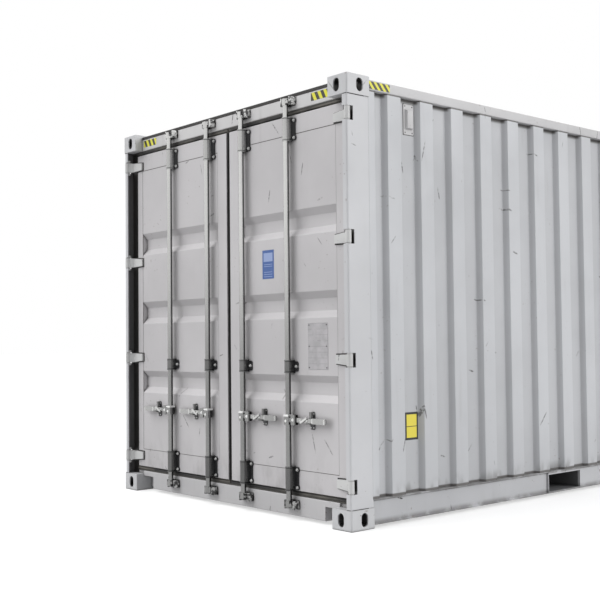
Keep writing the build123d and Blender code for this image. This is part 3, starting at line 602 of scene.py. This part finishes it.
def add_disc(work, centre, outward, radius, thick, segments, top_share=0.85):
    """A low round or six-sided head that stands on centre and narrows outward."""
    outward = Vector(outward)
    turn = outward.to_track_quat("Z", "Y").to_matrix().to_4x4()
    middle = Matrix.Translation(Vector(centre) + outward * thick / 2)
    bmesh.ops.create_cone(
        work, cap_ends=True, segments=segments, radius1=radius, radius2=radius * top_share,
        depth=thick, matrix=middle @ turn,
    )


def add_bolt(work, centre, outward, size=0.0078):
    """Washer, six-sided head and the rounded end of the shank."""
    outward = Vector(outward)
    centre = Vector(centre)
    add_disc(work, centre - outward * 0.001, outward, size * 1.35, 0.003, 20, 0.96)
    add_disc(work, centre + outward * 0.0015, outward, size, 0.0065, 6, 0.88)
    add_disc(work, centre + outward * 0.0075, outward, size * 0.5, 0.0025, 12, 0.6)


def bearing_bolts():
    """Two bolts in the flanges of each middle bearing, four in those of the others."""
    for side, hand in SIDES:
        work = bmesh.new()
        for word, place in RODS:
            for level, half, rise in BEARINGS:
                for across in (-BEARING_BOLT_SIDE, BEARING_BOLT_SIDE):
                    for up in sorted({-rise, rise}):
                        centre = (FLANGE_FRONT, hand * (place + across), level + up)
                        add_bolt(work, centre, TO_DOOR_END)
        put_in_scene(f"{side}_bearing_bolts", work, BOLT_ZINC, f"{side}_door", True)


def rod_fittings():
    """Lid and clamp bolt of each hub, and the head of the pin that the handle turns on."""
    for side, hand in SIDES:
        for word, place in RODS:
            rod = f"{side}_{word}_rod"
            work = bmesh.new()
            clamp = (ROD_AXIS - 0.0215, hand * place, HANDLE_LEVEL - 0.008)
            add_disc(work, clamp, TO_DOOR_END, 0.0095, 0.0035, 6)
            pin = (ROD_AXIS - 0.0140, hand * (place + HANDLE_PIVOT), HANDLE_LEVEL)
            add_disc(work, pin, TO_DOOR_END, 0.010, 0.0045, 20, 0.7)
            put_in_scene(f"{side}_{word}_hub_fittings", work, LID_ZINC, rod, True)
            lid = bmesh.new()
            low = (ROD_AXIS - 0.0232, hand * place - 0.0226, HANDLE_LEVEL + 0.0180)
            high = (ROD_AXIS + 0.0226, hand * place + 0.0226, HANDLE_LEVEL + 0.0308)
            ease(lid, add_block(lid, low, high), 0.0025)
            put_in_scene(f"{side}_{word}_hub_lid", lid, LID_ZINC, rod)


def handle_tongues():
    """Slanting tongue with its two rivets on the front of each handle, and the two ribs of the grip."""
    half = Vector((0.0040, 0.0070, 0.034))
    half_rib = Vector((0.0065, 0.006, 0.0155))
    for side, hand in SIDES:
        for word, place in RODS:
            work = bmesh.new()
            middle = Vector((ROD_AXIS - 0.0085, hand * (place + TONGUE_PLACE), HANDLE_LEVEL + 0.001))
            turn = Matrix.Rotation(math.radians(-62) * hand, 4, "X")
            ease(work, add_block(work, middle - half, middle + half, turn), 0.0025)
            for along in (TONGUE_PLACE - 0.028, TONGUE_PLACE + 0.028):
                front = (ROD_AXIS - 0.0045, hand * (place + along), HANDLE_LEVEL)
                add_disc(work, front, TO_DOOR_END, 0.0085, 0.0055, 16, 0.6)
            for along in (0.222, 0.326):
                centre = Vector((ROD_AXIS, hand * (place + along), HANDLE_LEVEL))
                ease(work, add_block(work, centre - half_rib, centre + half_rib), 0.003)
            handle = f"{side}_{word}_handle_body"
            put_in_scene(f"{side}_{word}_handle_tongue", work, BOLT_ZINC, handle, True)


def catch_rivets():
    """Rivets above and below each handle that hold its catch to the door."""
    foot_front = CATCH_HIGH.x - 0.006
    for side, hand in SIDES:
        work = bmesh.new()
        for word, place in RODS:
            for up in (-0.041, 0.041):
                for across in (-0.0125, 0.0125):
                    centre = (foot_front, hand * (place + CATCH_PLACE + across), HANDLE_LEVEL + up)
                    add_disc(work, centre, TO_DOOR_END, 0.0045, 0.003, 12, 0.6)
        put_in_scene(f"{side}_catch_rivets", work, BOLT_ZINC, f"{side}_door", True)


def panel_joints():
    """Seams where each corrugated panel is welded into its door frame, dirty on three sides."""
    front, back = DOOR_FACE - 0.0008, DOOR_FACE + 0.002
    for side, hand in SIDES:
        near_edge, far_edge = sorted((hand * -PANEL_LOW.y, hand * -PANEL_HIGH.y))
        work = bmesh.new()
        for level, half in ((PANEL_HIGH.z, 0.0020), (PANEL_LOW.z, 0.0015)):
            add_block(work, (front, near_edge, level - half), (back, far_edge, level + half))
        low = (front, far_edge - 0.0013, PANEL_LOW.z)
        add_block(work, low, (back, far_edge + 0.0013, PANEL_HIGH.z))
        put_in_scene(f"{side}_panel_joints", work, DARK_SEAM, f"{side}_door")
        bead = bmesh.new()
        low = (DOOR_FACE - FILM, near_edge - 0.0010, PANEL_LOW.z)
        add_block(bead, low, (back, near_edge + 0.0010, PANEL_HIGH.z))
        put_in_scene(f"{side}_panel_bead", bead, FAINT_SEAM, f"{side}_door")


def hinge_blade_shadows():
    """Painted shadow: a dark outline on the doors along the edges of the hinge blades."""
    outline = ((-1.122, -0.0385), (-1.0405, -0.0365), (-1.0405, 0.0275), (-1.122, 0.0347))
    for side, hand in SIDES:
        work = bmesh.new()
        for level, upright in HINGES:
            verts = [work.verts.new((DOOR_FACE - FILM, -hand * y, level + upright * z)) for y, z in outline]
            plate = bmesh.ops.extrude_face_region(work, geom=[work.faces.new(verts)])["geom"]
            moved = [part for part in plate if isinstance(part, bmesh.types.BMVert)]
            bmesh.ops.translate(work, verts=moved, vec=(0.002, 0, 0))
        put_in_scene(f"{side}_hinge_blade_shadows", work, SEALANT_AND_SHADOW, f"{side}_door")


def post_welds():
    """Dressed welds where the side walls meet the corner posts."""
    work = bmesh.new()
    for hand in (-1, 1):
        face = hand * -WALL_LOW.y
        for place in (WALL_LOW.x, WALL_HIGH.x):
            low = (place - 0.004, face - 0.0007, WALL_LOW.z + 0.001)
            ease(work, add_block(work, low, (place + 0.004, face + 0.0007, POST_HIGH.z)), 0.0004)
    put_in_scene("post_welds", work, WALL_PAINT, "root")


def header_sealant():
    """Black sealant along the top edge of the header, under the roof plate."""
    work = bmesh.new()
    reach = FAR_SIDE - CASTING_WIDE - 0.002
    low = (HEADER_LOW.x - 0.0015, -reach, HEADER_HIGH.z - 0.020)
    high = (HEADER_LOW.x + 0.003, reach, HEADER_HIGH.z + 0.001)
    ease(work, add_block(work, low, high), 0.0010)
    put_in_scene("header_sealant", work, SEALANT_AND_SHADOW, "root")


def seal_rebates():
    """Rebates of the header and the sill that the lips of the gaskets close against, painted near black for
    the shade in the gaps, with some dust.
    """
    work = bmesh.new()
    reach = GASKET_LOW.y + 0.012
    above = (GASKET_HIGH.z + 0.0015, HEADER_LOW.z + 0.0005)
    below = (SILL_HIGH.z - 0.0005, GASKET_LOW.z - 0.0015)
    for low, high in (above, below):
        add_block(work, (DOOR_FACE + 0.004, reach, low), (DOOR_FACE + 0.030, -reach, high))
    put_in_scene("seal_rebates", work, REBATE_DUST_AND_SHADE, "root")


def casting_joints():
    """Dark weld lines where the posts meet their castings."""
    work = bmesh.new()
    proud, half = 0.0010, 0.0034
    door_end_line = (POST_LOW.x + 0.010, POST_LOW.x + 0.135)
    blind_end_line = (END_POST_HIGH.x - 0.135, END_POST_HIGH.x - 0.010)
    for hand in (-1, 1):
        outside = hand * -POST_LOW.y
        for level in (CASTING_HIGH.z, TOP_CASTING_LOW.z):
            for start, end in (door_end_line, blind_end_line):
                add_block(work, (start, outside - proud, level - half), (end, outside + proud, level + half))
            for face, width in ((POST_LOW.x, 0.034), (END_POST_HIGH.x, 0.120)):
                inner, outer = sorted((hand * (-POST_LOW.y - width), hand * (-POST_LOW.y - 0.006)))
                add_block(work, (face - proud, inner, level - half), (face + proud, outer, level + half))
    put_in_scene("casting_joints", work, SEALANT_AND_SHADOW, "root")


def hazard_marks():
    """Slanting yellow and black bars at the top corners."""
    header = bmesh.new()
    for start, end in ((-1.000, -0.842), (0.870, 1.038)):
        low = (HEADER_LOW.x - FILM, start, HEADER_HIGH.z - 0.076)
        add_block(header, low, (HEADER_LOW.x + SUNK, end, HEADER_HIGH.z - 0.028))
    for start, end in ((-1.030, -0.860), (0.860, 1.030)):
        low = (END_RAIL_HIGH.x - SUNK, start, END_RAIL_HIGH.z - 0.054)
        add_block(header, low, (END_RAIL_HIGH.x + FILM, end, END_RAIL_HIGH.z - 0.008))
    put_in_scene("header_hazard_marks", header, HEADER_TAPE, "root")

    rails = bmesh.new()
    for hand in (-1, 1):
        face = hand * -TOP_RAIL_LOW.y
        inner, outer = sorted((face - hand * SUNK, face + hand * FILM))
        for start, end in ((DOOR_END + 0.180, DOOR_END + 0.348), (BLIND_END - 0.348, BLIND_END - 0.180)):
            add_block(rails, (start, inner, TOP_RAIL_LOW.z + 0.008), (end, outer, TOP_RAIL_HIGH.z - 0.008))
    put_in_scene("rail_hazard_marks", rails, RAIL_TAPE, "root")


def blue_label():
    """Plain blue label on the near door, with blank pale fields."""
    front = PANEL_LOW.x
    field_front = front - 0.0010
    work = bmesh.new()
    add_block(work, (front - FILM, -0.474, 1.458), (front + SUNK, -0.360, 1.638))
    put_in_scene("near_blue_label", work, LABEL_BLUE, "near_door")
    fields = bmesh.new()
    ease(fields, add_block(fields, (field_front, -0.462, 1.566), (front, -0.372, 1.620)), 0.0004)
    for level in (1.548, 1.536, 1.500, 1.486, 1.472):
        add_block(fields, (field_front, -0.458, level - 0.0016), (front, -0.376, level + 0.0016))
    put_in_scene("near_label_fields", fields, LABEL_PALE, "near_door")


def data_plate():
    """Bare riveted plate on the near door."""
    front = PANEL_LOW.x
    work = bmesh.new()
    ease(work, add_block(work, (front - 0.0016, -0.971, 0.900), (front + SUNK, -0.793, 1.174)), 0.0006)
    put_in_scene("near_data_plate", work, DATA_PLATE, "near_door")
    rivets = bmesh.new()
    for across in (-0.960, -0.804):
        for level in (0.911, 1.037, 1.163):
            add_disc(rivets, (front - 0.0012, across, level), TO_DOOR_END, 0.0042, 0.0026, 12, 0.6)
    put_in_scene("near_plate_rivets", rivets, MARK_BLACK, "near_door", True)


def height_marks():
    """Bare yellow plate with a black border, in the first full valley of each side wall."""
    left, right = DOOR_END + 0.480, DOOR_END + 0.589
    edge, half_border, half_field = 0.012, 0.0010, 0.0016
    for side, hand in SIDES:
        valley = hand * VALLEY_FACE
        border = bmesh.new()
        add_block(border, (left, valley - half_border, 0.474), (right, valley + half_border, 0.638))
        put_in_scene(f"{side}_height_mark_border", border, MARK_BLACK, "root")
        fields = bmesh.new()
        for low, high in ((0.487, 0.552), (0.556, 0.625)):
            corner = (left + edge, valley - half_field, low)
            add_block(fields, corner, (right - edge, valley + half_field, high))
        put_in_scene(f"{side}_height_mark", fields, MARK_YELLOW, "root")


def vent_fittings():
    """Screws of each vent and the dirt round its rim."""
    middle = (VENT_LOW.x + VENT_HIGH.x) / 2
    inset, margin = 0.013, 0.003
    for side, hand in SIDES:
        face = hand * VALLEY_FACE
        work = bmesh.new()
        for level in (VENT_HIGH.z - inset, VENT_LOW.z + inset):
            for across in (-0.030, 0.030):
                centre = (middle + across, face + hand * 0.0035, level)
                add_disc(work, centre, (0, hand, 0), 0.0042, 0.003, 12, 0.6)
        put_in_scene(f"{side}_vent_screws", work, SEALANT_AND_SHADOW, "root", True)
        rim = bmesh.new()
        low = (VENT_LOW.x - margin, face - 0.0007, VENT_LOW.z - margin)
        add_block(rim, low, (VENT_HIGH.x + margin, face + 0.0007, VENT_HIGH.z + margin))
        put_in_scene(f"{side}_vent_rim", rim, DARK_SEAM, "root")


def roof_welds():
    """Weld beads between the sheets of the roof, midway between troughs."""
    work = bmesh.new()
    half_wide, end_gap = 0.005, 0.004
    for step in (-7.5, -2.5, 2.5, 7.5):
        place = ROOF_MIDDLE + step * ROOF_PITCH
        low = (place - half_wide, ROOF_LOW.y + end_gap, ROOF_HIGH.z - SUNK)
        high = (place + half_wide, ROOF_HIGH.y - end_gap, ROOF_HIGH.z + 0.0018)
        ease(work, add_block(work, low, high), 0.0012)
    put_in_scene("roof_welds", work, ROOF_PAINT, "root")


def studio_light():
    """Even pale sky, white where the camera sees it, and two wide soft lamps."""
    world = bpy.data.worlds.new("studio_sky")
    bpy.context.scene.world = world
    world.use_nodes = True
    tree = world.node_tree
    sky = tree.nodes["Background"]
    sky.inputs["Color"].default_value = (0.97, 0.985, 1.0, 1.0)
    direction = tree.nodes.new("ShaderNodeTexCoord").outputs["Generated"]
    split = tree.nodes.new("ShaderNodeSeparateXYZ")
    tree.links.new(direction, split.inputs[0])
    climb = tree.nodes.new("ShaderNodeMapRange")
    climb.inputs["From Min"].default_value = -0.1
    climb.inputs["From Max"].default_value = 1.0
    climb.inputs["To Min"].default_value = 0.46
    climb.inputs["To Max"].default_value = 0.56
    tree.links.new(split.outputs["Z"], climb.inputs["Value"])
    tree.links.new(climb.outputs["Result"], sky.inputs["Strength"])
    white = tree.nodes.new("ShaderNodeBackground")
    white.inputs["Color"].default_value = (1.0, 1.0, 1.0, 1.0)
    seen = tree.nodes.new("ShaderNodeLightPath")
    share = seen.outputs["Is Camera Ray"]
    for ray in ("Is Glossy Ray", "Is Transmission Ray"):
        either = tree.nodes.new("ShaderNodeMath")
        either.operation = "MAXIMUM"
        tree.links.new(share, either.inputs[0])
        tree.links.new(seen.outputs[ray], either.inputs[1])
        share = either.outputs["Value"]
    pick = tree.nodes.new("ShaderNodeMixShader")
    tree.links.new(share, pick.inputs[0])
    tree.links.new(sky.outputs[0], pick.inputs[1])
    tree.links.new(white.outputs[0], pick.inputs[2])
    tree.links.new(pick.outputs[0], tree.nodes["World Output"].inputs[0])

    # Strength, width in degrees and direction of travel of each lamp
    for name, energy, width, travel in (
        ("side_light", 1.64, 40, (-0.60, 1.00, -0.55)),
        ("door_light", 2.00, 48, (0.62, -0.42, -0.80)),
    ):
        data = bpy.data.lights.new(name, "SUN")
        data.energy = energy
        data.angle = math.radians(width)
        lamp = bpy.data.objects.new(name, data)
        lamp.rotation_euler = Vector(travel).to_track_quat("-Z", "Y").to_euler()
        bpy.context.scene.collection.objects.link(lamp)


def studio_floor():
    """Pale floor that keeps the shadow and runs into the white behind it."""
    work = bmesh.new()
    bmesh.ops.create_grid(work, x_segments=1, y_segments=1, size=80.0)
    mesh = bpy.data.meshes.new("studio_floor")
    work.to_mesh(mesh)
    work.free()
    floor = bpy.data.objects.new("studio_floor", mesh)
    bpy.context.scene.collection.objects.link(floor)
    made = Finish("pale_floor")
    mesh.materials.append(made.done((0.48, 0.48, 0.48, 1.0), 0.9))
    glow = made.node("ShaderNodeEmission", {"Color": (1.0, 1.0, 1.0, 1.0), "Strength": 0.58})
    both = made.node("ShaderNodeAddShader", {0: made.shader.outputs[0], 1: glow.outputs[0]})
    rays = made.node("ShaderNodeLightPath", {}).outputs
    seen = made.most(rays["Is Camera Ray"], rays["Is Glossy Ray"], rays["Is Transmission Ray"])
    pick = made.node("ShaderNodeMixShader", {0: seen, 1: made.shader.outputs[0], 2: both.outputs[0]})
    made.tree.links.new(pick.outputs[0], made.tree.nodes["Material Output"].inputs["Surface"])


def photo_camera():
    """The camera stands low, off the near corner of the doors, as in the photograph."""
    place = Vector((-6.9114, -5.4023, 1.0772))
    heading, pitch, roll = (math.radians(angle) for angle in (48.206, 2.207, -0.651))
    data = bpy.data.cameras.new("photo_camera")
    data.lens = 61.134
    data.shift_x = -0.05
    data.clip_end = 300.0
    camera = bpy.data.objects.new("photo_camera", data)
    turn = Matrix.Rotation(heading - math.pi / 2, 4, "Z") @ Matrix.Rotation(math.pi / 2 + pitch, 4, "X")
    camera.matrix_world = Matrix.Translation(place) @ turn @ Matrix.Rotation(roll, 4, "Z")
    bpy.context.scene.collection.objects.link(camera)
    bpy.context.scene.camera = camera


dress_the_frame()
bearing_bolts()
rod_fittings()
handle_tongues()
catch_rivets()
panel_joints()
hinge_blade_shadows()
post_welds()
header_sealant()
seal_rebates()
casting_joints()
hazard_marks()
blue_label()
data_plate()
height_marks()
vent_fittings()
roof_welds()
studio_light()
studio_floor()
photo_camera()
bpy.context.scene.view_settings.view_transform = "Standard"
